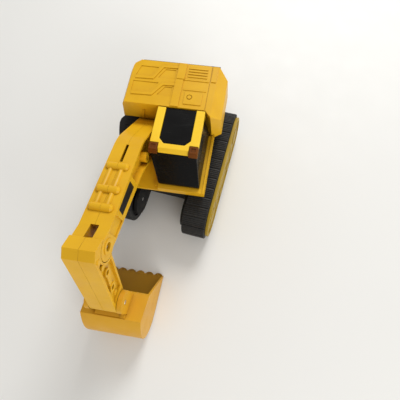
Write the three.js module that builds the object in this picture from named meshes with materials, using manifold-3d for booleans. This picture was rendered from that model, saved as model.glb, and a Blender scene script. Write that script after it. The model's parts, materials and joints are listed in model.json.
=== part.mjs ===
// Toy excavator, in millimetres. +Z is up, the machine looks towards -Y, and +X is its left, the cab side.
// The upper structure lies along the axes. The undercarriage is swung a few degrees under it.
import * as THREE from "three";
import { mergeVertices } from "three/addons/utils/BufferGeometryUtils.js";
import Module from "manifold-3d";

const wasm = await Module();
wasm.setup();

// ---------- driving dimensions ----------

const GAP = 0.3; // between neighbouring mouldings
const WALL = 2.4; // of every moulded shell
const ROUND = 24; // sides of a round piece

const ORIGIN = { x: 4.5, y: -93.3 }; // the middle of the whole machine, seen from above

// Undercarriage
const SWING = { x: 4.5, y: -31 }; // the vertical axis that the house turns on
const SWING_ANGLE = -6; // degrees that the undercarriage is turned by
const BELT = { inner: 33, outer: 62, radius: 27.5, thickness: 4, rib: 2.5, ribs: 32 };
const WHEEL_Y = 59; // from the swing axis to each main axle
const AXLE_Z = BELT.radius + BELT.rib;
const AXLE_R = 2.5;
const HOLE_R = 2.7;
const WHEEL_R = BELT.radius - BELT.thickness - GAP;
const ROLLER_R = 8;
const ROLLER_Y = 19;
const COVER_X = 66; // outer face of a track cover
const FRAME_TOP = 51;
const RING_TOP = 60;
const RING_R = 32;

// House
const DECK = { bottom: 67.3, floor: 71, sill: 77.6, left: -40.5, front: -85, right: 52.7 };
const HOOD = { left: -54.3, right: 50, rear: 61, top: 118.1, skirtLeft: -60, skirtRight: 61 };
const STEP = { left: -70, front: -26, rear: 21.2, top: 74 };
const CAB = { left: -11.3, right: 43.3, front: -56.4, lamp: -46.6, top: 118.1, skin: 112.5 };
const CAB_WINDOW = { left: -1.8, right: 33.6, front: -46.8, cut: 6 };
const LAMP_W = 9.8;

// Digging arm. Its parts share one mid-plane, and their joint axes are [y, z] points on it.
const ARM_X = -27.4;
const ARM_HALF = 14.3;
const CHEEK_IN = 8.2; // inner faces of the boom's two cheeks at its foot
const CORE_HALF = 4.5;
const TONGUE_HALF = 3.6;
const EYE_R = 5.8;
const FOOT = [-6.8, 80];
const ELBOW = [-171, 153.5];
const WRIST = [-214.5, 80];
const FOOT_R = 8.6;
const BRACKET_R = 6.2;
const ELBOW_R = 13.5;
const WRIST_R = 11.5;
const BUCKET_X = -24.6;
const BUCKET_HALF = 33.5;
const BUCKET_FLARE = 2.3; // how much wider each side is at the lip than at the back

// ---------- geometry helpers ----------

const AXIS_X = new THREE.Vector3(1, 0, 0);
const AXIS_Y = new THREE.Vector3(0, 1, 0);
const AXIS_Z = new THREE.Vector3(0, 0, 1);

// A closed three.js geometry as a manifold solid.
function solid(geometry) {
  const bare = geometry.clone();
  bare.deleteAttribute("normal");
  bare.deleteAttribute("uv");
  const merged = mergeVertices(bare, 1e-4);
  return new wasm.Manifold(
    new wasm.Mesh({
      numProp: 3,
      vertProperties: new Float32Array(merged.attributes.position.array),
      triVerts: new Uint32Array(merged.index.array),
    }),
  );
}

// A manifold solid as a three.js geometry.
function geometryOf(body) {
  const mesh = body.getMesh();
  const geometry = new THREE.BufferGeometry();
  geometry.setAttribute("position", new THREE.BufferAttribute(mesh.vertProperties, 3));
  geometry.setIndex(new THREE.BufferAttribute(mesh.triVerts, 1));
  const flat = geometry.toNonIndexed();
  flat.computeVertexNormals();
  return flat;
}

// A Shape from a list of [a, b] points.
function outline(points) {
  return new THREE.Shape(points.map(([a, b]) => new THREE.Vector2(a, b)));
}

// The points of a Shape as [a, b] pairs, each apart from the one before.
function pointsOf(shape, divisions = 6) {
  const points = shape.getPoints(divisions).map((point) => [point.x, point.y]);
  return points.filter(([a, b], i) => {
    const [c, d] = points[(i + points.length - 1) % points.length];
    return Math.hypot(a - c, b - d) > 0.05;
  });
}

function extruded(shape, depth, segments = 8) {
  return new THREE.ExtrudeGeometry(shape, { depth, bevelEnabled: false, curveSegments: segments });
}

// A (y, z) outline extruded along X.
function alongX(shape, x0, x1, segments) {
  const turn = new THREE.Matrix4().makeBasis(AXIS_Y, AXIS_Z, AXIS_X);
  return solid(extruded(shape, x1 - x0, segments).applyMatrix4(turn).translate(x0, 0, 0));
}

// An (x, z) outline extruded along Y.
function alongY(shape, y0, y1, segments) {
  const turn = new THREE.Matrix4().makeBasis(AXIS_X, AXIS_Z, AXIS_Y.clone().negate());
  return solid(extruded(shape, y1 - y0, segments).applyMatrix4(turn).translate(0, y1, 0));
}

// An (x, y) outline extruded along Z.
function alongZ(shape, z0, z1, segments) {
  return solid(extruded(shape, z1 - z0, segments).translate(0, 0, z0));
}

function box([x0, y0, z0], [x1, y1, z1]) {
  const block = new THREE.BoxGeometry(x1 - x0, y1 - y0, z1 - z0);
  return solid(block.translate((x0 + x1) / 2, (y0 + y1) / 2, (z0 + z1) / 2));
}

function rodX([y, z], radius, x0, x1, sides = ROUND) {
  const rod = new THREE.CylinderGeometry(radius, radius, x1 - x0, sides).rotateZ(-Math.PI / 2);
  return solid(rod.translate((x0 + x1) / 2, y, z));
}

function rodZ([x, y], radius, z0, z1, sides = ROUND) {
  const rod = new THREE.CylinderGeometry(radius, radius, z1 - z0, sides).rotateX(Math.PI / 2);
  return solid(rod.translate(x, y, (z0 + z1) / 2));
}

// A closed profile of [radius, height] points turned about Z, then moved to [x, y].
function turnedZ(profile, [x, y], sides = ROUND) {
  const points = profile.map(([r, h]) => new THREE.Vector2(r, h));
  return solid(new THREE.LatheGeometry(points, sides).rotateX(Math.PI / 2).translate(x, y, 0));
}

// The same profile turned about X, with its heights running along +X.
function turnedX(profile, [y, z], sides = ROUND) {
  const points = profile.map(([r, h]) => new THREE.Vector2(r, h));
  return solid(new THREE.LatheGeometry(points, sides).rotateZ(-Math.PI / 2).translate(0, y, z));
}

function joined(...bodies) {
  return bodies.reduce((all, one) => all.add(one));
}

const radians = (degrees) => (degrees * Math.PI) / 180;

// The point where a line from `from` touches a circle. side is +1 or -1 for the two such points.
function tangentPoint(from, [y, z], radius, side) {
  const away = Math.atan2(from[1] - z, from[0] - y);
  const reach = Math.hypot(from[1] - z, from[0] - y);
  const angle = away + side * Math.acos(radius / reach);
  return [y + radius * Math.cos(angle), z + radius * Math.sin(angle)];
}

function angleTo([y, z], point) {
  return Math.atan2(point[1] - z, point[0] - y);
}

// A polygon with every side moved inwards by `distance`; its points run anticlockwise.
function inset(points, distance) {
  const count = points.length;
  return points.map((point, i) => {
    const before = points[(i + count - 1) % count];
    const after = points[(i + 1) % count];
    const into = new THREE.Vector2(point[0] - before[0], point[1] - before[1]).normalize();
    const out = new THREE.Vector2(after[0] - point[0], after[1] - point[1]).normalize();
    const normal = new THREE.Vector2(-into.y - out.y, into.x + out.x).normalize();
    const slant = Math.max(0.4, normal.x * -into.y + normal.y * into.x);
    const step = distance / slant;
    return [point[0] + normal.x * step, point[1] + normal.y * step];
  });
}

// ---------- materials ----------

function plastic(color, roughness = 0.42) {
  return new THREE.MeshStandardMaterial({ color, roughness, metalness: 0 });
}

const bodyYellow = plastic(0xe3ad2c);
const roofYellow = plastic(0xffd338, 0.35);
const bucketYellow = plastic(0xc8922c);
const coverYellow = plastic(0xa98a2c);
const glossBlack = plastic(0x101113, 0.25);
const matteBlack = plastic(0x1b1b1c, 0.75);
const rubberBlack = plastic(0x161616, 0.85);
const lampAmber = plastic(0x7c3f16, 0.3);
const decalBlack = plastic(0x19150f, 0.5);
const steel = new THREE.MeshStandardMaterial({ color: 0xb9bcc0, roughness: 0.3, metalness: 1 });

function piece(name, body, material) {
  const mesh = new THREE.Mesh(geometryOf(body), material.clone());
  mesh.name = name;
  return mesh;
}

// ---------- undercarriage ----------

// A racetrack outline round the two main axles, as [y, z] points.
function racetrack(radius, arcSteps = 10, ends = [WHEEL_Y, -WHEEL_Y]) {
  const points = [];
  ends.forEach((centre, end) => {
    for (let step = 0; step <= arcSteps; step += 1) {
      const angle = -Math.PI / 2 + end * Math.PI + (Math.PI * step) / arcSteps;
      points.push([centre + radius * Math.cos(angle), AXLE_Z + radius * Math.sin(angle)]);
    }
  });
  return points;
}

// The point of the racetrack of one radius that lies `along` its run, from the rear axle's underside.
function runPoint(along, radius) {
  const straight = 2 * WHEEL_Y;
  const arc = Math.PI * BELT.radius;
  const lap = 2 * (straight + arc);
  const s = ((along % lap) + lap) % lap;
  if (s < arc) {
    const angle = -Math.PI / 2 + s / BELT.radius;
    return [WHEEL_Y + radius * Math.cos(angle), AXLE_Z + radius * Math.sin(angle)];
  }
  if (s < arc + straight) return [WHEEL_Y - (s - arc), AXLE_Z + radius];
  if (s < 2 * arc + straight) {
    const angle = Math.PI / 2 + (s - arc - straight) / BELT.radius;
    return [-WHEEL_Y + radius * Math.cos(angle), AXLE_Z + radius * Math.sin(angle)];
  }
  return [-WHEEL_Y + (s - 2 * arc - straight), AXLE_Z - radius];
}

// A rubber track: a belt with one raised bar for each pitch.
function trackBelt() {
  const lap = 4 * WHEEL_Y + 2 * Math.PI * BELT.radius;
  const pitch = lap / BELT.ribs;
  const tall = BELT.radius + BELT.rib;
  const points = [];
  for (let rib = 0; rib < BELT.ribs; rib += 1) {
    const start = rib * pitch;
    points.push(runPoint(start + 0.08 * pitch, BELT.radius));
    points.push(runPoint(start + 0.2 * pitch, tall));
    points.push(runPoint(start + 0.5 * pitch, tall));
    points.push(runPoint(start + 0.8 * pitch, tall));
    points.push(runPoint(start + 0.92 * pitch, BELT.radius));
  }
  const shape = outline(points);
  const inner = racetrack(BELT.radius - BELT.thickness);
  shape.holes.push(outline(inner));
  return alongX(shape, BELT.inner, BELT.outer);
}

// A grooved wheel with a bore for its axle, its rim between two x planes.
function trackWheel(radius, x0, x1, centre) {
  const groove = radius - 3;
  const profile = [
    [HOLE_R, x0],
    [radius * 0.4, x0],
    [radius * 0.86, x0 + 2],
    [radius, x0],
    [radius, x0 + 9],
    [groove, x0 + 11],
    [groove, x1 - 11],
    [radius, x1 - 9],
    [radius, x1],
    [radius * 0.86, x1 - 2],
    [radius * 0.4, x1],
    [HOLE_R, x1],
    [HOLE_R, x0],
  ];
  return turnedX(profile, centre, 20);
}

// A plain roller with a bore for its axle.
function trackRoller(x0, x1, centre) {
  const profile = [
    [HOLE_R, x0],
    [ROLLER_R - 1, x0],
    [ROLLER_R, x0 + 1],
    [ROLLER_R, x1 - 1],
    [ROLLER_R - 1, x1],
    [HOLE_R, x1],
    [HOLE_R, x0],
  ];
  return turnedX(profile, centre, 14);
}

const ROLLER_Z = AXLE_Z - BELT.radius + BELT.thickness + GAP + ROLLER_R;
const SPINDLE_CENTRES = [
  [-WHEEL_Y, AXLE_Z],
  [WHEEL_Y, AXLE_Z],
  [-ROLLER_Y, ROLLER_Z],
  [ROLLER_Y, ROLLER_Z],
];

// The outer cover of one track: a dished plate with hub bosses and a raised rim.
function trackCover() {
  const inner = BELT.outer + GAP;
  const plate = alongX(outline(racetrack(BELT.radius - 1.2)), inner, COVER_X);
  const dish = alongX(outline(racetrack(BELT.radius - 5)), COVER_X - 1.6, COVER_X + 1);
  const hubs = SPINDLE_CENTRES.map(([y, z]) => {
    const radius = z === AXLE_Z ? 11 : 5.5;
    return rodX([y, z], radius, inner, COVER_X - 0.2, 16);
  });
  const ribs = [-1, 1].map((side) => box([inner, side * 38 - 2, 12], [COVER_X - 0.4, side * 38 + 2, 48]));
  return joined(plate.subtract(dish), ...hubs, ...ribs);
}

// The chassis: a hollow tub, a side plate behind each track and a beam inside each belt.
function chassis() {
  const tub = box([-29, -40, 12], [29, 40, FRAME_TOP]);
  const hollow = box([-29 + WALL, -40 + WALL, 10], [29 - WALL, 40 - WALL, FRAME_TOP - WALL]);
  const post = rodZ([0, 0], 9, 30, FRAME_TOP, 20);
  const pivot = rodZ([0, 0], 20, FRAME_TOP - 1, FRAME_TOP + 3);
  const sides = [-1, 1].map((side) => {
    const near = side * 28.5;
    const far = side * (BELT.inner - 0.6);
    const plate = outline(racetrack(BELT.radius - 7, 8));
    return alongX(plate, Math.min(near, far), Math.max(near, far));
  });
  const beams = [-1, 1].map((side) => {
    const near = side * 30;
    const far = side * (BELT.outer - 0.4);
    return box([Math.min(near, far), -33, 26], [Math.max(near, far), 33, 46]);
  });
  const bores = SPINDLE_CENTRES.map((centre) => rodX(centre, AXLE_R + 0.2, -80, 80, 16));
  const screwHole = rodZ([0, 0], 3.4, 0, 80, 20);
  const headroom = rodZ([0, 0], 7.5, 0, 33, 20);
  let frame = joined(tub.subtract(hollow), post, pivot, ...sides, ...beams);
  [...bores, screwHole, headroom].forEach((cutter) => {
    frame = frame.subtract(cutter);
  });
  return frame;
}

function undercarriage() {
  const group = new THREE.Group();
  group.position.set(SWING.x, SWING.y, 0);
  group.rotation.z = radians(SWING_ANGLE);
  group.add(piece("chassis_frame", chassis(), matteBlack));

  const ringProfile = [
    [20.5, FRAME_TOP + GAP],
    [RING_R, FRAME_TOP + GAP],
    [RING_R, RING_TOP - 2],
    [RING_R - 2, RING_TOP],
    [20.5, RING_TOP],
    [20.5, FRAME_TOP + GAP],
  ];
  group.add(piece("turntable_ring", turnedZ(ringProfile, [0, 0], 40), matteBlack));

  const names = { "-1": "right", 1: "left" };
  const spots = ["front_wheel", "rear_wheel", "front_roller", "rear_roller"];
  [-1, 1].forEach((side) => {
    const word = names[side];
    const flip = (body) => (side > 0 ? body : body.mirror([1, 0, 0]));
    group.add(piece(word + "_track_belt", flip(trackBelt()), rubberBlack));
    group.add(piece(word + "_track_cover", flip(trackCover()), coverYellow));
    spots.forEach((spot, i) => {
      const centre = SPINDLE_CENTRES[i];
      const wheel = spot.includes("wheel")
        ? trackWheel(WHEEL_R, BELT.inner + 1, BELT.outer - 1, centre)
        : trackRoller(BELT.inner + 1, BELT.outer - 1, centre);
      group.add(piece(word + "_" + spot, flip(wheel), matteBlack));
      const pin = rodX(centre, AXLE_R, 28.7, BELT.outer - 0.2, 12);
      const pinName = spot.replace("wheel", "axle").replace("roller", "roller_pin");
      group.add(piece(word + "_" + pinName, flip(pin), steel));
    });
  });
  return group;
}

// ---------- house ----------

// The floor of the house: a tray with the raised cab platform, the swing boss and the boom bracket.
function houseDeck() {
  const floor = alongZ(
    outline([
      [DECK.left, DECK.front],
      [DECK.right, DECK.front],
      [DECK.right, 3],
      [58, 8],
      [58, 50],
      [50, 57],
      [-48, 57],
      [-56, 48],
      [-56, 22],
      [DECK.left, 22],
    ]),
    DECK.bottom,
    DECK.floor,
  );
  const sill = box([-2, DECK.front, DECK.floor - 1], [DECK.right, -9.5, DECK.sill]);
  const sillRear = box([-2, -10, DECK.floor - 1], [41, -1.4, DECK.sill]);
  const foot = box([-6, -81.5, DECK.floor - 1], [0, -76, DECK.sill - 2]);
  const lip = DECK.sill + 1;
  const sideLip = box([DECK.right - 2, DECK.front, DECK.sill - 1], [DECK.right, -9.5, lip]);
  const boss = rodZ([SWING.x, SWING.y], 31, RING_TOP + GAP, DECK.floor - 1, 40);
  const spigot = rodZ([SWING.x, SWING.y], 19.8, FRAME_TOP + 3 + GAP, RING_TOP + 1);
  const [y, z] = FOOT;
  const bracketShape = new THREE.Shape();
  bracketShape.moveTo(y + 4.6, DECK.floor - 1);
  bracketShape.lineTo(y + 4.6, z - 4);
  bracketShape.absarc(y, z, BRACKET_R, radians(-42), radians(222), false);
  bracketShape.lineTo(y - 4.6, DECK.floor - 1);
  const bracket = alongX(bracketShape, ARM_X - CHEEK_IN + 0.8, ARM_X + CHEEK_IN - 0.8);
  const pinHole = rodX(FOOT, HOLE_R, ARM_X - 20, ARM_X + 20, 20);
  const screwHole = rodZ([SWING.x, SWING.y], 3.4, 0, DECK.floor - 2, 20);
  const body = joined(floor, sill, sillRear, foot, sideLip, boss, spigot, bracket);
  return body.subtract(pinHole).subtract(screwHole);
}

// A plain step clipped to the edge of the deck beside the boom's foot, with a rounded outer side.
function sideStep() {
  const edge = DECK.left - GAP;
  const shape = outline([
    [edge, STEP.front],
    [edge, STEP.rear],
    [STEP.left + 11, STEP.rear],
    [STEP.left + 10, 13],
    [STEP.left + 4.5, 8.4],
    [STEP.left + 0.8, 3.5],
    [STEP.left, -2.5],
    [STEP.left + 1.2, -9.5],
    [STEP.left + 4.6, STEP.front + 3],
    [STEP.left + 7.5, STEP.front],
  ]);
  let step = alongZ(shape, DECK.bottom, STEP.top);
  for (let row = 0; row < 4; row += 1) {
    const y = STEP.front + 5 + 8 * row;
    step = step.add(box([STEP.left + 8, y, STEP.top - 0.5], [edge - 3, y + 2, STEP.top + 0.7]));
  }
  const besideBoom = ARM_X - ARM_HALF - 0.7;
  return step.subtract(box([besideBoom, -60, DECK.floor], [edge + 1, 60, STEP.top + 2]));
}

// The engine cover's plan. Its front corner points forward beside the cab, and its rear corners are cut.
const HOOD_PLAN = [
  [HOOD.skirtLeft - 1, 0],
  [42.6, 0],
  [HOOD.right, -8.2],
  [HOOD.skirtRight + 1, 0],
  [HOOD.skirtRight + 1, 53.5],
  [HOOD.right + 1.5, HOOD.rear],
  [-44.5, HOOD.rear],
  [-51, 55.5],
  [-54.3, 46.5],
  [HOOD.skirtLeft - 1, 40],
];

// A recess cut into the roof, from its corner points.
function roofRecess(points, depth) {
  return alongZ(outline(points), HOOD.top - depth, HOOD.top + 3);
}

// A raised band on the roof, `width` wide along a line of points.
function roofBand(line, width, height) {
  const side = (sign) =>
    line.map(([x, y], i) => {
      const [px, py] = line[Math.max(i - 1, 0)];
      const [nx, ny] = line[Math.min(i + 1, line.length - 1)];
      const before = new THREE.Vector2(x - px, y - py).normalize();
      const after = new THREE.Vector2(nx - x, ny - y).normalize();
      const along = before.add(after).normalize();
      return [x - (sign * along.y * width) / 2, y + (sign * along.x * width) / 2];
    });
  const points = [...side(-1), ...side(1).reverse()];
  return alongZ(outline(points), HOOD.top - 1, HOOD.top + height);
}

function engineCover() {
  const { left, right, rear, top, skirtLeft, skirtRight } = HOOD;
  const base = DECK.floor + GAP;
  const section = (wall) =>
    outline([
      [skirtLeft + wall, base - (wall ? 1 : 0)],
      [skirtRight - wall, base - (wall ? 1 : 0)],
      [skirtRight - wall, 103],
      [right - wall / 2, top - wall],
      [left + wall + 2, top - wall],
      [left + wall - 0.7, top - wall - 4],
      [skirtLeft + wall, 88],
    ]);
  const plan = alongZ(outline(HOOD_PLAN), base - 1, top + 1);
  const roomPlan = alongZ(outline(inset(HOOD_PLAN, WALL)), base - 1, top + 1);
  const notchEnd = [DECK.left - 0.3, 21.5, 88];
  const frontNotch = box([-70, -3, base - 1], notchEnd);
  const notchWalls = box([-70, -3, base - 2], notchEnd.map((end) => end + WALL));
  const room = alongY(section(WALL), WALL, rear).intersect(roomPlan).subtract(notchWalls);
  let body = alongY(section(0), -9, rear).intersect(plan).subtract(room).subtract(frontNotch);

  // The boom's foot reaches into a slot low in the front wall.
  const slotHalf = ARM_HALF + 0.6;
  body = body.subtract(box([ARM_X - slotHalf, -1, base - 1], [ARM_X + slotHalf, 4, 86.6]));

  // The corner of the cab platform runs under the cover's front corner.
  body = body.subtract(box([40, -12, base - 1], [DECK.right + GAP, -6, DECK.sill + 1.4]));

  // Four shallow panels, two Z-shaped raised bands between them, and a cross groove.
  const panels = [
    [[-47, 39], [-28.5, 39.5], [-21.5, 52.5], [-43, 52.5]],
    [[-19.6, 37.6], [0, 37.6], [0, 50.4], [-12.8, 50.4]],
    [[-48, 17], [-26.5, 17.5], [-17.5, 30.5], [-48, 30.5]],
    [[-16.5, 14], [0, 14], [0, 26], [-8.8, 26]],
  ];
  panels.forEach((points) => {
    body = body.subtract(roofRecess(points, 0.7));
  });
  const bands = [
    [[-46.5, 35.6], [-25.5, 36.3], [-16.2, 53.8], [2, 54.4]],
    [[-46.7, 13], [-22.8, 13.9], [-12.2, 29], [2.5, 29.8]],
  ];
  bands.forEach((line) => {
    body = body.add(roofBand(line, 3.4, 0.9));
  });

  // Louvres, a cross bar, and a square hatch with its round latch on the other half.
  for (let row = 0; row < 4; row += 1) {
    const y = 43.4 + 3.9 * row;
    body = body.add(roofBand([[15, y], [38, y]], 1.9, 0.8));
  }
  body = body.add(roofBand([[12, 38.4], [41, 38.4]], 1.6, 0.7));
  body = body.add(roofBand([[13, 24.6], [40, 24.6]], 1.2, 0.6));
  body = body.add(box([16, 5.2, top - 1], [36.6, 21.4, top + 0.8]));
  body = body.subtract(rodZ([22, 14.6], 3.4, top, top + 3, 20));
  const latch = rodZ([22, 14.6], 2.4, top - 1, top + 1.1, 16);
  body = body.subtract(roofRecess([[41.6, -3], [42.6, -3], [42.6, 63], [41.6, 63]], 0.7));

  // The raised band down the roof, higher behind its step, and the raised strip at the side.
  const band = box([2, 0.6, top - 1], [11, 60, top + 1.3]);
  const bandRear = box([2.6, 38, top], [11.8, 60, top + 2]);
  const stripRear = box([43.4, 38.4, top - 1], [49.4, 59.8, top + 0.9]);

  // A slanted fin on the front, beside the boom.
  const fin = alongY(outline([[-36.6, 91], [-34.6, 91], [-30.4, 106], [-32, 106]]), -1.3, 0.5);
  return joined(body, latch, band, bandRear, stripRear, fin);
}

// The rear grille: a louvred plate that stands a little out from the engine cover's back.
function rearGrille() {
  let plate = box([-43, HOOD.rear + GAP, 95], [51, HOOD.rear + 2.8, 115.5]);
  for (let row = 0; row < 4; row += 1) {
    const z = 98 + 4 * row;
    plate = plate.subtract(box([-38, HOOD.rear + 1.6, z], [46, HOOD.rear + 4, z + 2]));
  }
  return plate;
}

// The dark cab moulding: windscreen, side windows and roof window in one shell.
function cabGlazing() {
  const base = DECK.sill + GAP;
  const side = (inside) =>
    outline([
      [-79.7 + inside, base - (inside ? 1 : 0)],
      [-1.2 - inside, base - (inside ? 1 : 0)],
      [-1.2 - inside, CAB.skin - GAP - inside],
      [CAB.front - 1 + inside, CAB.skin - GAP - inside],
      [-79.7 + inside * 1.4, 82],
    ]);
  const front = (inside) =>
    outline([
      [-1.5 + inside, base - 1],
      [46.8 - inside, base - 1],
      [46.8 - inside, 81],
      [CAB.right - 1 - inside, CAB.skin + 1],
      [CAB.left + 1.2 + inside, CAB.skin + 1],
      [-1.5 + inside, 81],
    ]);
  const outer = alongX(side(0), -20, 60).intersect(alongY(front(0), -90, 10));
  const room = alongX(side(WALL), -20, 60).intersect(alongY(front(WALL), -90, 10));
  const pane = alongZ(outline(roofWindow(GAP)), CAB.skin - 1, CAB.top - 1.3);
  const corner = alongZ(outline([[40, -1], [60, -23], [60, 5], [40, 5]]), 60, 130);
  return outer.subtract(room).add(pane).subtract(corner);
}

// The roof window's outline: open at the rear, with its two front corners cut.
function roofWindow(shrink) {
  const { left, right, front, cut } = CAB_WINDOW;
  return [
    [left + shrink, -1.2],
    [left + shrink, front + cut],
    [left + cut, front + shrink],
    [right - cut, front + shrink],
    [right - shrink, front + cut],
    [right - shrink, -1.2],
  ];
}

// The yellow roof frame: two rails and a front bar round the roof window.
function cabRoof() {
  const barLeft = CAB.left + LAMP_W + GAP;
  const barRight = CAB.right - LAMP_W - GAP;
  const [first, ...rest] = roofWindow(0);
  const frame = outline([
    [CAB.left, -1.2],
    [CAB.left, CAB.lamp],
    [barLeft, CAB.lamp],
    [barLeft, CAB.front],
    [barRight, CAB.front],
    [barRight, CAB.lamp],
    [CAB.right, CAB.lamp],
    [CAB.right, -1.2],
    ...rest.reverse(),
    first,
  ]);
  const bevel = alongX(
    outline([
      [CAB.front - 1, CAB.skin + 1.2],
      [CAB.front, CAB.skin + 1.2],
      [CAB.front + 3.5, CAB.top],
      [CAB.front + 3.5, CAB.top + 1],
      [CAB.front - 1, CAB.top + 1],
    ]),
    -20,
    60,
  );
  return alongZ(frame, CAB.skin, CAB.top).subtract(bevel);
}

// A corner lamp, sloping down at its front, with a square raised rim round its lens.
function cornerLamp(x0) {
  const x1 = x0 + LAMP_W;
  const side = outline([
    [CAB.lamp - GAP, CAB.skin],
    [CAB.lamp - GAP, CAB.top - 0.5],
    [-55.6, CAB.top - 0.5],
    [-58.2, CAB.top - 3],
    [-58.2, CAB.skin],
  ]);
  const rim = box([x0 + 0.5, -55.3, CAB.top - 1], [x1 - 0.5, -47.4, CAB.top + 0.4]);
  const lens = box([x0 + 2.3, -53.5, CAB.top - 0.5], [x1 - 2.3, -49.2, CAB.top + 1]);
  return alongX(side, x0, x1).add(rim).subtract(lens);
}

// ---------- digging arm ----------

// The boom's side outline: a round foot, a steep neck, a long beam and a round elbow.
function boomOutline() {
  const kneeLow = [-46, 125.6];
  const kneeHigh = [-62, 134.4];
  const beamTop = [-157, 160.1];
  const beamBottom = [-160, 136.6];
  const neckBottom = [-62, 93.4];
  const heel = [-45, 77.5];
  const footTop = tangentPoint(kneeLow, FOOT, FOOT_R, -1);
  const footBottom = tangentPoint(heel, FOOT, FOOT_R, 1);
  const shape = new THREE.Shape();
  shape.moveTo(...footTop);
  shape.lineTo(...kneeLow);
  shape.quadraticCurveTo(-52, 130.8, ...kneeHigh);
  shape.lineTo(...beamTop);
  shape.absarc(...ELBOW, ELBOW_R, radians(80), radians(282), false);
  shape.lineTo(...beamBottom);
  shape.lineTo(-95, 113.4);
  shape.quadraticCurveTo(-76, 107, ...neckBottom);
  shape.lineTo(...heel);
  shape.lineTo(...footBottom);
  shape.absarc(...FOOT, FOOT_R, angleTo(FOOT, footBottom), angleTo(FOOT, footTop), false);
  return shape;
}

const BOOM_POINTS = pointsOf(boomOutline());
const BOOM_SCREW = [-61.2, 106.5];
const STICK_SCREWS = { lower: [-202.5, 113.7], upper: [-191.5, 136.5] };

// Points of an outline between two y planes, closed by straight cuts.
function slice(points, y0, y1, x0, x1) {
  return alongX(outline(points), x0, x1).intersect(box([x0 - 1, y0, 0], [x1 + 1, y1, 300]));
}

// A bar across the beam's top: half a cylinder with rounded ends, lying along X.
function crossBar([y, z]) {
  const profile = [
    [0, -12],
    [2.6, -11.4],
    [4, -9.4],
    [4, 9.4],
    [2.6, 11.4],
    [0, 12],
  ];
  return turnedX(profile, [y, z], 14).translate([ARM_X - 0.8, 0, 0]);
}

const beamTopAt = (y) => 134.4 + ((y + 62) * (160.1 - 134.4)) / (-157 + 62);

// The hollow boom before it is split into its two halves.
function boomBody() {
  const left = ARM_X - ARM_HALF;
  const right = ARM_X + ARM_HALF;
  const core = inset(BOOM_POINTS, WALL);
  let body = alongX(outline(BOOM_POINTS), left, right);
  body = body.subtract(slice(core, -150, -33, ARM_X - CORE_HALF, ARM_X + CORE_HALF));

  // The foot's two cheeks straddle the bracket on the deck.
  const cheekIn = ARM_X - CHEEK_IN;
  const cheekOut = ARM_X + CHEEK_IN;
  body = body.subtract(rodX(FOOT, BRACKET_R + 0.4, cheekIn, cheekOut));
  body = body.subtract(box([cheekIn, -60, 50], [cheekOut, 5, FOOT[1]]));

  // The elbow is a fork round the stick's tongue, and its slot shows on the top.
  const slot = TONGUE_HALF + GAP;
  body = body.subtract(box([ARM_X - slot, -200, 100], [ARM_X + slot, -154.5, 200]));

  // Both flanks are recessed between flanges, behind and in front of the flat that holds the decal.
  const web = inset(BOOM_POINTS, 2.6);
  const recesses = [
    [-98, -38, 7],
    [-160, -142, 1.4],
  ];
  recesses.forEach(([y0, y1, depth]) => {
    body = body.subtract(slice(web, y0, y1, right - depth, right + 1));
    body = body.subtract(slice(web, y0, y1, left - 1, left + depth));
  });

  // A hollow screw boss stands in each recess, and a pin boss on each side of the elbow.
  const bosses = [
    [BOOM_SCREW, 5.8, CORE_HALF + 1, ARM_HALF + 0.2],
    [ELBOW, 7.5, TONGUE_HALF + 4, ARM_HALF + 0.7],
  ];
  bosses.forEach(([centre, radius, root, face]) => {
    body = body.add(rodX(centre, radius, ARM_X + root, ARM_X + face));
    body = body.add(rodX(centre, radius, ARM_X - face, ARM_X - root));
  });
  [right - 2.5, left - 1].forEach((x0) => {
    body = body.subtract(rodX(BOOM_SCREW, 3.6, x0, x0 + 3.5, 18));
    body = body.subtract(rodX(ELBOW, 4.4, x0, x0 + 3.5, 18));
  });

  // Relief on the top: three cross bars, with two round rails between them, and a narrow slot.
  [-91, -118, -137.4].forEach((y) => {
    body = body.add(crossBar([y, beamTopAt(y) + 0.4]));
  });
  [-6.2, 4.6].forEach((x) => {
    const start = [-92, beamTopAt(-92) - 1.2];
    const end = [-137, beamTopAt(-137) - 1.2];
    const run = Math.hypot(end[0] - start[0], end[1] - start[1]);
    const tilt = Math.atan2(end[1] - start[1], start[0] - end[0]);
    const rail = new THREE.CylinderGeometry(3, 3, run, 12).rotateX(-tilt);
    const middle = [(start[0] + end[0]) / 2, (start[1] + end[1]) / 2];
    body = body.add(solid(rail.translate(ARM_X - 0.8 + x, middle[0], middle[1])));
  });
  const slotTop = outline([[-84.5, 120], [-62, 120], [-62, 150], [-84.5, 150]]);
  body = body.subtract(alongX(slotTop, ARM_X - 1.5, ARM_X + 1.5));

  const pinHoles = [FOOT, ELBOW].map((centre) => rodX(centre, HOLE_R, left - 5, right + 5, 20));
  const screwHole = rodX(BOOM_SCREW, 1.7, left - 5, right + 5, 14);
  return body.subtract(pinHoles[0]).subtract(pinHoles[1]).subtract(screwHole);
}

// The stick's side outline: a boxed head, a straight blade and a round wrist.
function stickOutline() {
  const headRear = [-168.5, 170.2];
  const headTop = [-180, 177.2];
  const headFront = [-188.6, 172.2];
  const rearTop = [-175.6, 138.4];
  const front = tangentPoint(headFront, WRIST, WRIST_R, 1);
  const rear = tangentPoint(rearTop, WRIST, WRIST_R, -1);
  const shape = new THREE.Shape();
  shape.moveTo(...rearTop);
  shape.lineTo(-164, 150);
  shape.lineTo(...headRear);
  shape.lineTo(...headTop);
  shape.lineTo(...headFront);
  shape.lineTo(...front);
  shape.absarc(...WRIST, WRIST_R, angleTo(WRIST, front), angleTo(WRIST, rear), false);
  return shape;
}

const STICK_POINTS = pointsOf(stickOutline());

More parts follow.
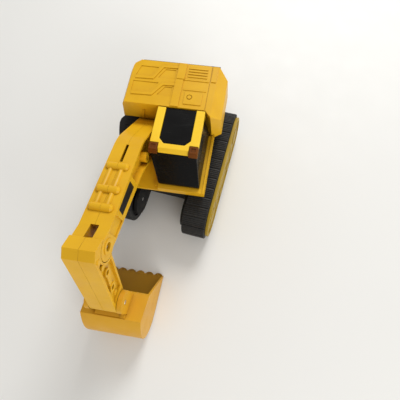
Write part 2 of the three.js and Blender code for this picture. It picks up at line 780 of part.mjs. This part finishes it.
// The hollow stick before it is split into its two halves.
function stickBody() {
  const left = ARM_X - ARM_HALF;
  const right = ARM_X + ARM_HALF;
  const clear = rodX(ELBOW, ELBOW_R + 0.7, left - 5, right + 5, 40);
  const behind = box([left - 1, ELBOW[0], 100], [right + 1, -150, 166]);
  let body = alongX(outline(STICK_POINTS), left, right).subtract(clear).subtract(behind);
  const core = alongX(outline(inset(STICK_POINTS, WALL)), ARM_X - CORE_HALF, ARM_X + CORE_HALF);
  body = body.subtract(core.intersect(box([left, -230, 95], [right, -150, 134])));

  // The tongue that enters the boom's fork.
  const tongueShape = outline([[-186, 149], [-171, 149], [-171, 157.5], [-186, 157.5]]);
  const tongue = alongX(tongueShape, ARM_X - TONGUE_HALF, ARM_X + TONGUE_HALF);
  const eye = rodX(ELBOW, EYE_R, ARM_X - TONGUE_HALF, ARM_X + TONGUE_HALF);
  body = joined(body, tongue, eye);

  // Recessed flanks with a link-like raised bar between two hollow screw bosses.
  const web = inset(STICK_POINTS, 2.8);
  const window = box([left - 5, -240, 93], [right + 5, -150, 160]);
  const keepHead = rodX(ELBOW, ELBOW_R + 3, left - 5, right + 5, 40);
  const { lower, upper } = STICK_SCREWS;
  const across = new THREE.Vector2(upper[1] - lower[1], lower[0] - upper[0]).normalize();
  const link = outline([
    [lower[0] - 2.6 * across.x, lower[1] - 2.6 * across.y],
    [lower[0] + 2.6 * across.x, lower[1] + 2.6 * across.y],
    [upper[0] + 2.6 * across.x, upper[1] + 2.6 * across.y],
    [upper[0] - 2.6 * across.x, upper[1] - 2.6 * across.y],
  ]);
  [-1, 1].forEach((side) => {
    const cut = side > 0 ? right - 2.6 : left - 1;
    body = body.subtract(alongX(outline(web), cut, cut + 3.6).intersect(window).subtract(keepHead));
    const bar = side > 0 ? right - 3 : left + 0.8;
    body = body.add(alongX(link, bar, bar + 2.2));
  });
  const bosses = [
    [lower, 5, 0],
    [upper, 4.4, -0.4],
    [[-206.5, 97.5], 3, -1.4],
    [[-186.6, 165.6], 2.6, 0.6],
    [[-189.6, 153], 2.6, 0.6],
  ];
  bosses.forEach(([centre, radius, proud]) => {
    const face = ARM_HALF + proud;
    body = body.add(rodX(centre, radius, ARM_X + 8, ARM_X + face, 20));
    body = body.add(rodX(centre, radius, ARM_X - face, ARM_X - 8, 20));
  });
  Object.values(STICK_SCREWS).forEach((centre) => {
    [right - 2.4, left - 1].forEach((x0) => {
      body = body.subtract(rodX(centre, 2.7, x0, x0 + 3.4, 16));
    });
    body = body.subtract(rodX(centre, 1.7, left - 5, right + 5, 14));
  });
  [ELBOW, WRIST].forEach((centre) => {
    body = body.subtract(rodX(centre, HOLE_R, left - 5, right + 5, 20));
  });
  return body;
}

// The part of an arm body on one side of the mid-plane.
function half(body, side) {
  const near = ARM_X + side * 0.1;
  const far = ARM_X + side * 40;
  return body.intersect(box([Math.min(near, far), -300, 0], [Math.max(near, far), 50, 300]));
}

// A plain pin along X.
function armPin(centre, reach) {
  return rodX(centre, AXLE_R, ARM_X - reach, ARM_X + reach, 18);
}

// The flat generic decal on one flank of the boom.
function boomDecal(side) {
  const mark = outline([[-104, 141], [-136, 149.6], [-137.5, 138], [-104.5, 126.5]]);
  const near = ARM_X + side * (ARM_HALF + 0.1);
  const far = ARM_X + side * (ARM_HALF + 0.4);
  return alongX(mark, Math.min(near, far), Math.max(near, far));
}

// ---------- bucket ----------

const LIP = [-176.5, 1.6];
const RIDGE = [-232, 65];
const BROW = [-204, 55];

// The bucket's side outline, or the same outline carried on past its mouth.
function bucketOutline(past) {
  const run = Math.hypot(BROW[0] - RIDGE[0], BROW[1] - RIDGE[1]);
  const brow = [
    BROW[0] + (past * (BROW[0] - RIDGE[0])) / run,
    BROW[1] + (past * (BROW[1] - RIDGE[1])) / run,
  ];
  const shape = new THREE.Shape();
  shape.moveTo(LIP[0] + past, LIP[1]);
  shape.lineTo(...brow);
  shape.lineTo(...RIDGE);
  shape.quadraticCurveTo(-247, 50, -250.2, 33);
  shape.bezierCurveTo(-252, 16, -241, 2.5, -224, LIP[1]);
  return pointsOf(shape, 9);
}

// A solid of that outline, between two planes that open out towards the lip.
function bucketSolid(points, half) {
  const turn = new THREE.Matrix4().makeBasis(AXIS_Y, AXIS_Z, AXIS_X);
  const block = extruded(outline(points), 2 * half).applyMatrix4(turn).translate(-half, 0, 0);
  const position = block.attributes.position;
  for (let i = 0; i < position.count; i += 1) {
    const towardsLip = (position.getY(i) - RIDGE[0]) / (LIP[0] - RIDGE[0]);
    position.setX(i, BUCKET_X + position.getX(i) * (1 + (towardsLip * BUCKET_FLARE) / half));
  }
  return solid(block);
}

function bucketBody() {
  const shell = bucketSolid(bucketOutline(0), BUCKET_HALF);
  const room = bucketSolid(inset(bucketOutline(16), WALL), BUCKET_HALF - WALL);
  let body = shell.subtract(room);

  // Rounded teeth along the lip.
  const teeth = 6;
  const lipHalf = BUCKET_HALF + BUCKET_FLARE;
  const pitch = (2 * lipHalf - 1) / teeth;
  for (let tooth = 0; tooth < teeth; tooth += 1) {
    const x = BUCKET_X - lipHalf + 0.5 + pitch * (tooth + 0.5);
    body = body.add(rodZ([x, LIP[0] - 3.6], 6, LIP[1], LIP[1] + 2.2, 20));
  }

  // Two lugs that hold the wrist, a ledge on the ridge between them and a small stop block.
  const lugShape = new THREE.Shape();
  const front = tangentPoint([-226, 62], WRIST, 12, -1);
  const rear = tangentPoint([-205, 54], WRIST, 12, 1);
  lugShape.moveTo(-226, 61);
  lugShape.lineTo(-205, 53.6);
  lugShape.lineTo(...rear);
  lugShape.absarc(...WRIST, 12, angleTo(WRIST, rear), angleTo(WRIST, front), false);
  [-1, 1].forEach((side) => {
    const near = ARM_X + side * (ARM_HALF + 0.4);
    const far = ARM_X + side * (ARM_HALF + 5.4);
    body = body.add(alongX(lugShape, Math.min(near, far), Math.max(near, far)));
  });
  body = body.add(box([ARM_X - ARM_HALF, -230.6, 61], [ARM_X + ARM_HALF, -223, 66.4]));
  body = body.add(box([ARM_X + ARM_HALF, -231, 61], [ARM_X + ARM_HALF + 4.6, -226, 68]));
  return body.subtract(rodX(WRIST, HOLE_R, BUCKET_X - 60, BUCKET_X + 60, 20));
}

// ---------- assembly ----------

function house() {
  const group = new THREE.Group();
  group.add(piece("house_deck", houseDeck(), bodyYellow));
  group.add(piece("right_side_step", sideStep(), matteBlack));
  group.add(piece("engine_cover", engineCover(), bodyYellow));
  group.add(piece("rear_grille", rearGrille(), matteBlack));
  group.add(piece("cab_glazing", cabGlazing(), glossBlack));
  group.add(piece("cab_roof", cabRoof(), roofYellow));
  group.add(piece("right_corner_lamp", cornerLamp(CAB.left), lampAmber));
  group.add(piece("left_corner_lamp", cornerLamp(CAB.right - LAMP_W), lampAmber));

  const swingScrew = turnedZ(
    [[0, 30.4], [6.5, 30.4], [6.5, 31.6], [5, 32.8], [3, 32.8], [3, 68], [0, 68.6]],
    [SWING.x, SWING.y],
    20,
  );
  group.add(piece("swing_screw", swingScrew, steel));

  group.add(piece("boom_foot_pin", armPin(FOOT, ARM_HALF - 0.2), steel));
  return group;
}

function diggingArm() {
  const group = new THREE.Group();
  const boom = boomBody();
  const stick = stickBody();
  group.add(piece("boom_right_half", half(boom, -1), bodyYellow));
  group.add(piece("boom_left_half", half(boom, 1), bodyYellow));
  group.add(piece("boom_right_decal", boomDecal(-1), decalBlack));
  group.add(piece("boom_left_decal", boomDecal(1), decalBlack));
  group.add(piece("stick_right_half", half(stick, -1), bodyYellow));
  group.add(piece("stick_left_half", half(stick, 1), bodyYellow));

  const screws = {
    boom_screw: BOOM_SCREW,
    stick_lower_screw: STICK_SCREWS.lower,
    stick_upper_screw: STICK_SCREWS.upper,
  };
  Object.entries(screws).forEach(([name, centre]) => {
    group.add(piece(name, rodX(centre, 1.4, ARM_X - 12.2, ARM_X + 12.2, 12), steel));
  });
  group.add(piece("elbow_pin", armPin(ELBOW, ARM_HALF - 1.2), steel));
  group.add(piece("wrist_pin", armPin(WRIST, ARM_HALF + 5.7), steel));
  group.add(piece("bucket", bucketBody(), bucketYellow));
  return group;
}

const group = new THREE.Group();
group.add(undercarriage());
group.add(house());
group.add(diggingArm());

group.position.set(-ORIGIN.x, -ORIGIN.y, 0);

export default group;
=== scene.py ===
# Toy excavator: softened mouldings, rubber tracks, materials, light and camera round the CAD frame.
import json
import math

import bmesh
import bpy
from mathutils import Matrix, Vector


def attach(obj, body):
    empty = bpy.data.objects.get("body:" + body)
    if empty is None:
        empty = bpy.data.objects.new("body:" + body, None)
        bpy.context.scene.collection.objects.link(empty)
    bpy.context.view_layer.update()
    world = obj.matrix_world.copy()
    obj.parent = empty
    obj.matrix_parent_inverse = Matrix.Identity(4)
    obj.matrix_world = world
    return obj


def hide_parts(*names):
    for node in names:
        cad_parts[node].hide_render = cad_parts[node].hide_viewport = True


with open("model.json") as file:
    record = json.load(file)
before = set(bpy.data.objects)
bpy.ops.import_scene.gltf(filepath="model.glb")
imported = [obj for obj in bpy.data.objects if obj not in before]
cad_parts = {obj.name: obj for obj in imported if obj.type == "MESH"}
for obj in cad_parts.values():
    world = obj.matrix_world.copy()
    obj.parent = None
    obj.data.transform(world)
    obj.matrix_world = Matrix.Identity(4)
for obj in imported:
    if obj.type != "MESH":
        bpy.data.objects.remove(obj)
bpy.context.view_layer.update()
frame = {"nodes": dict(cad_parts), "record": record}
NODES = frame["nodes"]
MM = 0.001

# ---------- the design frame ----------

# The drawing's own millimetres start at the engine cover's front edge, on the floor.
DRAWING_ORIGIN = Vector((4.5, -93.3, 0))
SWING_CENTRE = Vector((4.5, -31, 0))
SWING_ANGLE = math.radians(-6)
BUCKET_MIDDLE = (-24.6, -215, 32)
BUCKET_LIP_Y = -174


def place(x, y, z):
    """A point of the drawing, in millimetres, as a point of the frame, in metres."""
    return (Vector((x, y, z)) - DRAWING_ORIGIN) * MM


def undercarriage_matrix():
    """Takes metres about the swing axis, before the undercarriage is turned, to the frame."""
    return Matrix.Translation(place(*SWING_CENTRE)) @ Matrix.Rotation(SWING_ANGLE, 4, "Z")


# ---------- camera ----------

SENSOR_WIDTH = 36  # millimetres, as is the focal length
FOCAL_LENGTH = 30.0777
SHIFT_X = -0.0269  # in widths of the picture, as is the shift in y
SHIFT_Y = -0.017575
NEAREST = 10 * MM
EYE = (95.09, -209.54, 439.66)  # a point of the drawing
AZIMUTH = math.radians(15.144)
ELEVATION = math.radians(70.006)
ROLL = math.radians(-6.502)


def add_camera():
    """The camera looks down on the toy from its left front, at the photograph's angle."""
    look = Vector(
        (
            -math.sin(AZIMUTH) * math.cos(ELEVATION),
            math.cos(AZIMUTH) * math.cos(ELEVATION),
            -math.sin(ELEVATION),
        )
    )
    level_right = look.cross(Vector((0, 0, 1))).normalized()
    level_up = level_right.cross(look)
    right = level_right * math.cos(ROLL) + level_up * math.sin(ROLL)
    up = level_up * math.cos(ROLL) - level_right * math.sin(ROLL)
    data = bpy.data.cameras.new("camera")
    data.sensor_width = SENSOR_WIDTH
    data.lens = FOCAL_LENGTH
    data.shift_x = SHIFT_X
    data.shift_y = SHIFT_Y
    data.clip_start = NEAREST
    camera = bpy.data.objects.new("camera", data)
    bpy.context.collection.objects.link(camera)
    axes = Matrix((right, up, -look)).transposed().to_4x4()
    camera.matrix_world = Matrix.Translation(place(*EYE)) @ axes
    bpy.context.scene.camera = camera


# ---------- light and floor ----------

DAYLIGHT = (1.0, 0.985, 0.96)
PALE_DAYLIGHT = (1.0, 0.99, 0.97)
SKY_STRENGTH = 0.5
AIM = (0, 0, 0.06)  # where the windows point, in the middle of the toy
FLOOR_REACH = 3  # from the middle to an edge
FLOOR_CELLS = 8


def add_window(name, position, size, power, tint):
    """A soft square light that shines on the toy."""
    data = bpy.data.lights.new(name, "AREA")
    data.size = size
    data.energy = power
    data.color = tint
    light = bpy.data.objects.new(name, data)
    bpy.context.collection.objects.link(light)
    light.location = position
    light.rotation_euler = (Vector(AIM) - Vector(position)).to_track_quat("-Z", "Y").to_euler()


def add_studio():
    world = bpy.data.worlds.new("studio")
    world.use_nodes = True
    sky = world.node_tree.nodes["Background"]
    sky.inputs["Color"].default_value = (*DAYLIGHT, 1)
    sky.inputs["Strength"].default_value = SKY_STRENGTH
    bpy.context.scene.world = world
    add_window("front_window", position=(0.8, -1.0, 0.6), size=0.9, power=8.5, tint=DAYLIGHT)
    add_window("rear_window", position=(0.3, 1.15, 1.05), size=0.6, power=14.5, tint=PALE_DAYLIGHT)
    bpy.context.scene.view_settings.view_transform = "Standard"


def add_floor():
    mesh = bpy.data.meshes.new("floor")
    shape = bmesh.new()
    bmesh.ops.create_grid(shape, x_segments=FLOOR_CELLS, y_segments=FLOOR_CELLS, size=FLOOR_REACH)
    shape.to_mesh(mesh)
    shape.free()
    floor = bpy.data.objects.new("floor", mesh)
    bpy.context.collection.objects.link(floor)
    floor.data.materials.append(floor_material())


# ---------- shader nodes ----------


class Nodes:
    """A small helper that adds shader nodes to one material and links them."""

    def __init__(self, material):
        material.use_nodes = True
        self.tree = material.node_tree
        self.shader = self.tree.nodes["Principled BSDF"]

    def feed(self, socket, value):
        """Links another node's output to a socket, or sets the socket to a plain value."""
        if isinstance(value, bpy.types.NodeSocket):
            self.tree.links.new(value, socket)
        else:
            socket.default_value = value

    def add(self, kind, inputs=None, **settings):
        node = self.tree.nodes.new(kind)
        for key, value in settings.items():
            setattr(node, key, value)
        for key, value in (inputs or {}).items():
            self.feed(node.inputs[key], value)
        return node

    def set(self, socket, value):
        """Feeds a socket of the material's own shader."""
        self.feed(self.shader.inputs[socket], value)

    def position(self):
        return self.add("ShaderNodeTexCoord").outputs["Object"]

    def stretched(self, scale, rotation=(0, 0, 0)):
        """The position scaled by axis and turned, so that a noise on it has a direction."""
        inputs = {"Vector": self.position(), "Scale": scale, "Rotation": rotation}
        return self.add("ShaderNodeMapping", inputs).outputs["Vector"]

    def noise(self, scale, detail, vector=None):
        """Clouds from 0 to 1, with about scale of them in a metre."""
        inputs = {"Scale": scale, "Detail": detail, "Vector": vector or self.position()}
        return self.add("ShaderNodeTexNoise", inputs).outputs["Fac"]

    def remap(self, value, between, to):
        """Takes the first pair of values to the second, clamped outside."""
        ramp = {"Value": value, 1: between[0], 2: between[1], 3: to[0], 4: to[1]}
        return self.add("ShaderNodeMapRange", ramp).outputs["Result"]

    def mix(self, factor, first, second):
        colours = {0: factor, 6: first, 7: second}
        return self.add("ShaderNodeMix", colours, data_type="RGBA").outputs[2]

    def math(self, operation, first, second):
        return self.add("ShaderNodeMath", {0: first, 1: second}, operation=operation).outputs[0]

    def bump(self, height, distance, strength, normal=None):
        inputs = {"Height": height, "Distance": distance, "Strength": strength}
        if normal is not None:
            inputs["Normal"] = normal
        return self.add("ShaderNodeBump", inputs).outputs["Normal"]

    def edges(self, radius):
        """1 where an edge is rounded within radius, and 0 on the flat."""
        worn = self.add("ShaderNodeBevel", {"Radius": radius}, samples=4).outputs["Normal"]
        flat = self.add("ShaderNodeNewGeometry").outputs["Normal"]
        dot = self.add("ShaderNodeVectorMath", {0: worn, 1: flat}, operation="DOT_PRODUCT")
        return self.remap(dot.outputs["Value"], between=(1.0, 0.9), to=(0.0, 1.0))

    def openness(self, distance):
        """1 in the open and towards 0 inside a seam, a corner or a hollow."""
        shade = self.add("ShaderNodeAmbientOcclusion", {"Distance": distance}, samples=6)
        return shade.outputs["AO"]

    def facing_inwards(self, centre):
        """1 on the faces of a shell that look towards its centre, and 0 on its outside."""
        coordinates = self.add("ShaderNodeTexCoord").outputs
        away = self.add(
            "ShaderNodeVectorMath",
            {0: coordinates["Object"], 1: centre},
            operation="SUBTRACT",
        )
        dot = self.add(
            "ShaderNodeVectorMath",
            {0: away.outputs["Vector"], 1: coordinates["Normal"]},
            operation="DOT_PRODUCT",
        )
        return self.remap(dot.outputs["Value"], between=(-4 * MM, -1 * MM), to=(1.0, 0.0))

    def along_y(self):
        return self.add("ShaderNodeSeparateXYZ", {"Vector": self.position()}).outputs["Y"]


def tinted(colour, factor=1, lift=0):
    """A colour made brighter or darker, with the 1 for opaque that a socket wants."""
    return tuple(min(1, part * factor + lift) for part in colour) + (1,)


# ---------- moulded plastic ----------


def clouded(nodes, colour, deep):
    """The plastic's colour, with broad clouds of the deeper one and small pale flecks."""
    cloud = nodes.remap(nodes.noise(scale=38, detail=3), between=(0.35, 0.7), to=(0.0, 0.35))
    tone = nodes.mix(cloud, tinted(colour), tinted(deep))
    fleck = nodes.remap(nodes.noise(scale=900, detail=2), between=(0.62, 0.75), to=(0.0, 0.18))
    return nodes.mix(fleck, tone, tinted(colour, 1.25))


def shaded_seams(nodes, tone, deep):
    """Painted shade in the seams and the inner corners, darkest where ambient occlusion finds them
    closed in.
    """
    # painted shade: seams and inner corners darkened by ambient occlusion
    painted_shade = nodes.remap(nodes.openness(9 * MM), between=(0.2, 0.8), to=(0.75, 0.0))
    return nodes.mix(painted_shade, tone, tinted(deep, 0.55))


def rubbed_and_lit_edges(nodes, tone, colour, wear_and_highlight):
    """Paler edges in patches: partly wear where hands and sand rub the plastic, partly a painted
    highlight on the rounded edges.
    """
    patchy = nodes.remap(nodes.noise(scale=120, detail=3), between=(0.4, 0.65), to=(0.0, 1.0))
    # worn: the rubbed edges, which also stand in for a painted highlight
    worn = nodes.math("MULTIPLY", nodes.edges(0.7 * MM), patchy)
    return nodes.mix(nodes.math("MULTIPLY", worn, wear_and_highlight), tone, tinted(colour, 1.22, 0.015))


def shaded_hollow(nodes, tone, deep, middle):
    """Painted shade that darkens the inside of the bucket, most where it is deep and closed in, and
    the grime on its toothed lip.
    """
    dark = tinted(deep, 0.3)
    depth = nodes.remap(nodes.openness(50 * MM), between=(0.3, 0.8), to=(0.97, 0.5))
    # painted shade on the faces inside the shell, deeper where ambient occlusion is stronger
    inside = nodes.math("MULTIPLY", nodes.facing_inwards(middle), depth)
    tone = nodes.mix(inside, tone, dark)
    lip = place(0, BUCKET_LIP_Y, 0).y
    teeth = nodes.remap(nodes.along_y(), between=(lip - 6 * MM, lip - 1 * MM), to=(0.0, 0.75))
    patchy = nodes.remap(nodes.noise(scale=260, detail=3), between=(0.4, 0.6), to=(0.1, 1.0))
    return nodes.mix(nodes.math("MULTIPLY", teeth, patchy), tone, dark)


def scuffed(nodes, roughness):
    """A roughness that varies in patches, with long scuffs across it."""
    scuff = nodes.noise(scale=60, detail=4, vector=nodes.stretched((1, 9, 3), (0.5, 0.35, 0.65)))
    span = (roughness - 0.07, roughness + 0.1)
    patch = nodes.remap(nodes.noise(scale=55, detail=3), between=(0.3, 0.75), to=span)
    return nodes.math("ADD", patch, nodes.remap(scuff, between=(0.55, 0.75), to=(0.0, 0.12)))


def grained(nodes):
    """The fine grain of the mould, on faces that are very slightly wavy."""
    grain = nodes.bump(nodes.noise(scale=2600, detail=2), distance=0.04 * MM, strength=0.5)
    waves = nodes.noise(scale=45, detail=2)
    return nodes.bump(waves, distance=0.4 * MM, strength=0.12, normal=grain)


def moulded(name, colour, deep, roughness, wear_and_highlight=0.45, gloss=0.26, hollow=None):
    """Injection-moulded plastic with painted shade in seams and painted highlights on worn edges;
    deep is its colour in thick places and the base of its painted shade, hollow a shell's middle.
    """
    material = bpy.data.materials.new(name)
    nodes = Nodes(material)
    tone = clouded(nodes, colour, deep)
    tone = shaded_seams(nodes, tone, deep)
    tone = rubbed_and_lit_edges(nodes, tone, colour, wear_and_highlight)
    if hollow is not None:
        tone = shaded_hollow(nodes, tone, deep, hollow)
    nodes.set("Base Color", tone)
    nodes.set("Roughness", scuffed(nodes, roughness))
    nodes.set("Normal", grained(nodes))
    nodes.set("IOR", 1.5)
    nodes.set("Specular IOR Level", gloss)
    return material


# ---------- rubber, steel and paper ----------


def rubber(name):
    """Dull black rubber with dusty high spots."""
    material = bpy.data.materials.new(name)
    nodes = Nodes(material)
    dust = nodes.remap(nodes.noise(scale=90, detail=5), between=(0.45, 0.75), to=(0.0, 0.5))
    tone = nodes.mix(dust, (0.005, 0.005, 0.005, 1), (0.018, 0.017, 0.015, 1))
    worn = nodes.math("MULTIPLY", nodes.edges(0.6 * MM), 0.5)
    nodes.set("Base Color", nodes.mix(worn, tone, (0.04, 0.038, 0.034, 1)))
    patchy = nodes.noise(scale=160, detail=3)
    nodes.set("Roughness", nodes.remap(patchy, between=(0.3, 0.7), to=(0.5, 0.72)))
    grain = nodes.noise(scale=1500, detail=3)
    nodes.set("Normal", nodes.bump(grain, distance=0.1 * MM, strength=0.5))
    return material


def turned_steel(name):
    """Bright steel with fine turning marks."""
    material = bpy.data.materials.new(name)
    nodes = Nodes(material)
    nodes.set("Metallic", 1)
    marks = nodes.noise(scale=700, detail=3, vector=nodes.stretched((6, 1, 1)))
    nodes.set("Base Color", nodes.mix(marks, (0.42, 0.42, 0.43, 1), (0.75, 0.75, 0.76, 1)))
    nodes.set("Roughness", nodes.remap(marks, between=(0.3, 0.7), to=(0.22, 0.42)))
    nodes.set("Normal", nodes.bump(marks, distance=0.05 * MM, strength=0.4))
    return material


def floor_material():
    """Matt off-white paper."""
    material = bpy.data.materials.new("floor_paper")
    nodes = Nodes(material)
    cloud = nodes.noise(scale=3, detail=2)
    nodes.set("Base Color", nodes.mix(cloud, (0.80, 0.80, 0.78, 1), (0.84, 0.84, 0.825, 1)))
    patchy = nodes.noise(scale=30, detail=2)
    nodes.set("Roughness", nodes.remap(patchy, between=(0.3, 0.7), to=(0.6, 0.75)))
    grain = nodes.noise(scale=900, detail=2)
    nodes.set("Normal", nodes.bump(grain, distance=0.1 * MM, strength=0.15))
    return material


# ---------- the toy's materials ----------


def make_materials():
    """One material for each material slot of the record."""
    return {
        "body_yellow": moulded(
            "yellow_plastic",
            colour=(0.76, 0.425, 0.010),
            deep=(0.60, 0.29, 0.006),
            roughness=0.38,
        ),
        "roof_yellow": moulded(
            "roof_plastic",
            colour=(0.95, 0.62, 0.034),
            deep=(0.84, 0.48, 0.017),
            roughness=0.3,
        ),
        "bucket_yellow": moulded(
            "bucket_plastic",
            colour=(0.69, 0.355, 0.014),
            deep=(0.53, 0.24, 0.008),
            roughness=0.4,
            hollow=place(*BUCKET_MIDDLE),
        ),
        # The side covers: yellow plastic darkened to olive, painted shade as if they stood turned
        # from the light.
        "cover_olive": moulded(
            "shaded_cover_plastic",
            colour=(0.40, 0.26, 0.015),
            deep=(0.24, 0.14, 0.01),
            roughness=0.45,
        ),
        "gloss_black": moulded(
            "glossy_black",
            colour=(0.005, 0.005, 0.005),
            deep=(0.003, 0.003, 0.003),
            roughness=0.2,
            wear_and_highlight=0.06,
            gloss=0.16,
        ),
        "matte_black": moulded(
            "matte_black",
            colour=(0.009, 0.009, 0.009),
            deep=(0.004, 0.004, 0.004),
            roughness=0.55,
            wear_and_highlight=0.15,
        ),
        "track_rubber": rubber("track_rubber"),
        "lamp_amber": moulded(
            "lamp_amber",
            colour=(0.17, 0.05, 0.005),
            deep=(0.08, 0.02, 0.003),
            roughness=0.25,
            wear_and_highlight=0.3,
            gloss=0.18,
        ),
        "decal_dark": moulded(
            "decal_film",
            colour=(0.011, 0.009, 0.007),
            deep=(0.006, 0.005, 0.004),
            roughness=0.4,
            wear_and_highlight=0.1,
        ),
        "pin_steel": turned_steel("pin_steel"),
    }


# ---------- softened CAD mouldings ----------

# How wide the rounding of each piece's edges is, in millimetres.
EDGE_WIDTHS = {
    "engine_cover": 1.1,
    "cab_glazing": 1.0,
    "cab_roof": 0.7,
    "house_deck": 0.8,
    "right_side_step": 0.8,
    "bucket": 0.9,
    "rear_grille": 0.35,
    "boom_right_half": 0.9,
    "boom_left_half": 0.9,
    "stick_right_half": 0.9,
    "stick_left_half": 0.9,
}
SMALL_PIECE_EDGE = 0.5
EDGE_SEGMENTS = 2
EDGE_FROM = math.radians(28)  # a smaller bend between two faces isn't rounded
FLAT_WITHIN = math.radians(1.2)  # faces that bend less are joined first
WELD_WITHIN = 0.001 * MM
FLAT_FACE_WEIGHT = 60


def soften(piece, width):
    """Rounds the moulded edges of a piece by modifiers, with its own mesh left as it is."""
    weld = piece.modifiers.new("weld", "WELD")
    weld.merge_threshold = WELD_WITHIN
    flat = piece.modifiers.new("flat", "DECIMATE")
    flat.decimate_type = "DISSOLVE"
    flat.angle_limit = FLAT_WITHIN
    bevel = piece.modifiers.new("round", "BEVEL")
    bevel.width = width
    bevel.segments = EDGE_SEGMENTS
    bevel.limit_method = "ANGLE"
    bevel.angle_limit = EDGE_FROM
    bevel.use_clamp_overlap = True
    normals = piece.modifiers.new("normals", "WEIGHTED_NORMAL")
    normals.weight = FLAT_FACE_WEIGHT
    piece.data.polygons.foreach_set("use_smooth", [True] * len(piece.data.polygons))


def paint(piece, material):
    piece.data.materials.clear()
    piece.data.materials.append(material)


def finish_cad_nodes(materials):
    """Gives each node the material of its slot, and all but the flat decals rounded edges."""
    slot_of = {entry["node"]: entry["material_slot"] for entry in frame["record"]["subparts"]}
    for name, piece in NODES.items():
        paint(piece, materials[slot_of[name]])
        if not name.endswith("decal"):
            soften(piece, EDGE_WIDTHS.get(name, SMALL_PIECE_EDGE) * MM)


# ---------- tracks ----------

WHEEL_Y = 59 * MM  # from the swing axis to the axle of the front or the rear wheel
AXLE_Z = 30 * MM
BELT_RADIUS = 30 * MM  # of the belt's outside where it bends round a wheel
BELT_INSIDE = 23.5 * MM
BELT_X = (33 * MM, 62 * MM)
BELT_CHAMFER = 0.7 * MM
SHARP_FROM = math.radians(32)  # a smaller bend is shaded smooth

# The pads, and the fine ridges on each pad.
PADS = 32
RIDGES = 5
SPLIT_DEPTH = 1.4 * MM  # of the groove between two pads
GROOVE_DEPTH = 0.75 * MM  # between two ridges
SHOULDER_DEPTH = 0.3 * MM  # at a pad's two ends

# In shares of a pad's length: the floor of the split before it, and its run of ridges.
SPLIT_START = 0.01
SPLIT_STOP = 0.07
RIDGES_START = 0.09
RIDGES_LENGTH = 0.9

# In shares of the way from one ridge to the next: the flat top and the far foot.
TOP_START = 0.3
TOP_STOP = 0.68
FAR_FOOT = 0.96


def belt_profile(pad):
    """The distance along the belt and the depth below its outside at every bend of its profile."""
    ridge = RIDGES_LENGTH * pad / RIDGES
    profile = []
    for index in range(PADS):
        start = index * pad
        profile.append((start + SPLIT_START * pad, SPLIT_DEPTH))
        profile.append((start + SPLIT_STOP * pad, SPLIT_DEPTH))
        for number in range(RIDGES):
            foot = start + RIDGES_START * pad + number * ridge
            profile.append((foot, GROOVE_DEPTH if number else SHOULDER_DEPTH))
            profile.append((foot + TOP_START * ridge, 0))
            profile.append((foot + TOP_STOP * ridge, 0))
            last = number == RIDGES - 1
            profile.append((foot + FAR_FOOT * ridge, SHOULDER_DEPTH if last else GROOVE_DEPTH))
    return profile


def belt_stations():
    """For each bend of the profile: the y it is measured from, the outward y and z, and the depth."""
    straight = 2 * WHEEL_Y
    bend = math.pi * BELT_RADIUS
    down = -math.pi / 2
    up = math.pi / 2
    stations = []
    for along, depth in belt_profile(2 * (straight + bend) / PADS):
        if along < bend:
            turn = down + along / BELT_RADIUS
            centre = WHEEL_Y
        elif along < bend + straight:
            turn = up
            centre = WHEEL_Y - (along - bend)
        elif along < 2 * bend + straight:
            turn = up + (along - bend - straight) / BELT_RADIUS
            centre = -WHEEL_Y
        else:
            turn = down
            centre = -WHEEL_Y + (along - 2 * bend - straight)
        stations.append((centre, math.cos(turn), math.sin(turn), depth))
    return stations


def ribbed_belt(side, material):
    """One rubber track: a closed loop whose pads carry fine ridges, with softened outer corners."""
    x0, x1 = BELT_X
    shape = bmesh.new()
    rings = []
    for centre, dy, dz, depth in belt_stations():
        top = BELT_RADIUS - depth
        section = (
            (x0, BELT_INSIDE),
            (x0, top - BELT_CHAMFER),
            (x0 + BELT_CHAMFER, top),
            (x1 - BELT_CHAMFER, top),
            (x1, top - BELT_CHAMFER),
            (x1, BELT_INSIDE),
        )
        ring = []
        for x, radius in section:
            ring.append(shape.verts.new((side * x, centre + radius * dy, AXLE_Z + radius * dz)))
        rings.append(ring)
    for index, ring in enumerate(rings):
        ahead = rings[(index + 1) % len(rings)]
        for corner in range(len(ring)):
            after = (corner + 1) % len(ring)
            shape.faces.new((ring[corner], ring[after], ahead[after], ahead[corner]))
    bmesh.ops.recalc_face_normals(shape, faces=shape.faces)
    shape.transform(undercarriage_matrix())
    word = "left" if side > 0 else "right"
    mesh = bpy.data.meshes.new(word + "_ribbed_track")
    shape.to_mesh(mesh)
    shape.free()
    belt = bpy.data.objects.new(word + "_ribbed_track", mesh)
    bpy.context.collection.objects.link(belt)
    paint(belt, material)
    mesh.polygons.foreach_set("use_smooth", [True] * len(mesh.polygons))
    mesh.set_sharp_from_angle(angle=SHARP_FROM)
    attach(belt, "undercarriage")
    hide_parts(word + "_track_belt")


# ---------- build ----------

add_camera()
add_studio()
add_floor()
palette = make_materials()
finish_cad_nodes(palette)
for belt_side in (-1, 1):
    ribbed_belt(belt_side, palette["track_rubber"])
